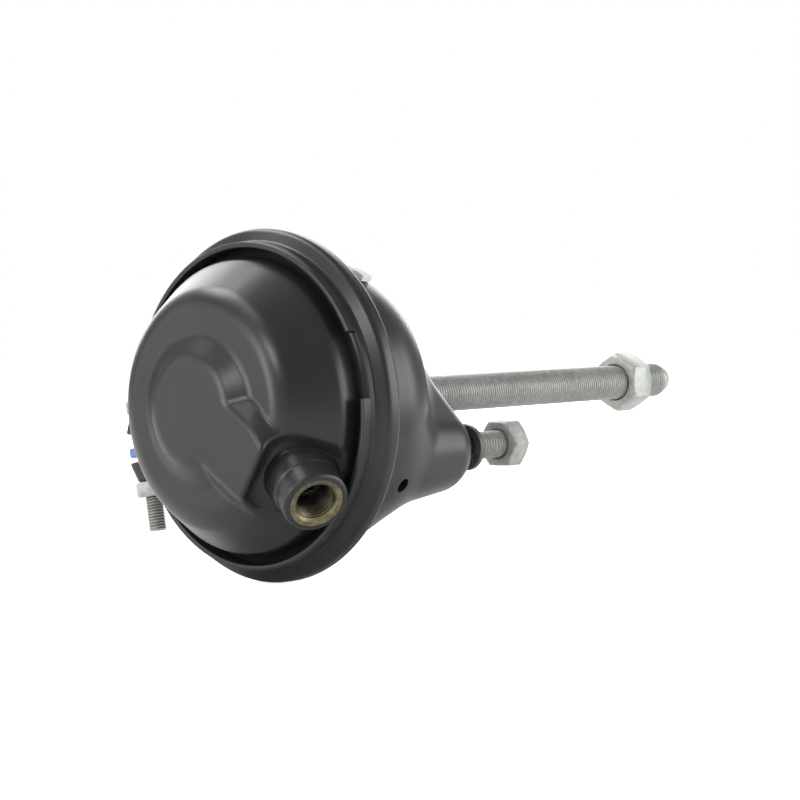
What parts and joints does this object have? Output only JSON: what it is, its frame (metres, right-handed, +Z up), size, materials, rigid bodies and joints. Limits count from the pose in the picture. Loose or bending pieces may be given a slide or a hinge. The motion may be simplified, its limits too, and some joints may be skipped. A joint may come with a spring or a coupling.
{
  "type": "air brake chamber",
  "caption": "Diaphragm service brake chamber: pressed cap and housing held by a clamp band, with an air port, mounting studs and a spring-returned push rod.",
  "frame": {"origin": "centre of the mounting face of the non-pressure housing, on the push rod's axis", "axes": "+X out along the push rod, +Z up, the studs on a line through the origin"},
  "size_m": [0.3064, 0.163, 0.1444],
  "materials": {
    "cap_paint": "satin black paint",
    "housing_paint": "satin black paint",
    "band_paint": "satin black paint",
    "port_metal": "black paint over yellow-passivated steel, bare inside",
    "zinc": "zinc plated",
    "galvanised": "dull galvanised",
    "dark_steel": "blackened",
    "plate_steel": "phosphated steel",
    "spring_steel": "coated",
    "blue_plastic": "matt",
    "grey_plastic": "matt",
    "guide_plastic": "matt",
    "rubber": "matt"
  },
  "bodies": {
    "chamber": {"pressure_cap": "cap_paint", "air_port": "port_metal", "non_pressure_housing": "housing_paint", "clamp_band": "band_paint", "clamp_bolt": "zinc", "clamp_nut": "zinc", "bolt_retainer": "blue_plastic", "diaphragm": "rubber", "rod_guide": "guide_plastic", "return_spring": "spring_steel", "reinforcement_plate": "plate_steel", "mounting_stud_1": "galvanised", "mounting_stud_2": "galvanised", "stud_nut_1": "galvanised", "stud_nut_2": "galvanised", "lock_washer_1": "dark_steel", "lock_washer_2": "dark_steel", "vent_plug_1": "grey_plastic", "vent_plug_2": "grey_plastic"},
    "push_rod_assembly": {"push_plate": "plate_steel", "push_rod": "galvanised", "rod_lock_nut": "galvanised"}
  },
  "joints": [
    {"name": "push_rod_stroke", "type": "slide", "parent": "chamber", "child": "push_rod_assembly", "axis": [1, 0, 0], "range_m": [0, 0.044], "stiffness_N_per_m": 1500, "springref_m": -0.04, "deforming": ["return_spring", "diaphragm"]}
  ]
}
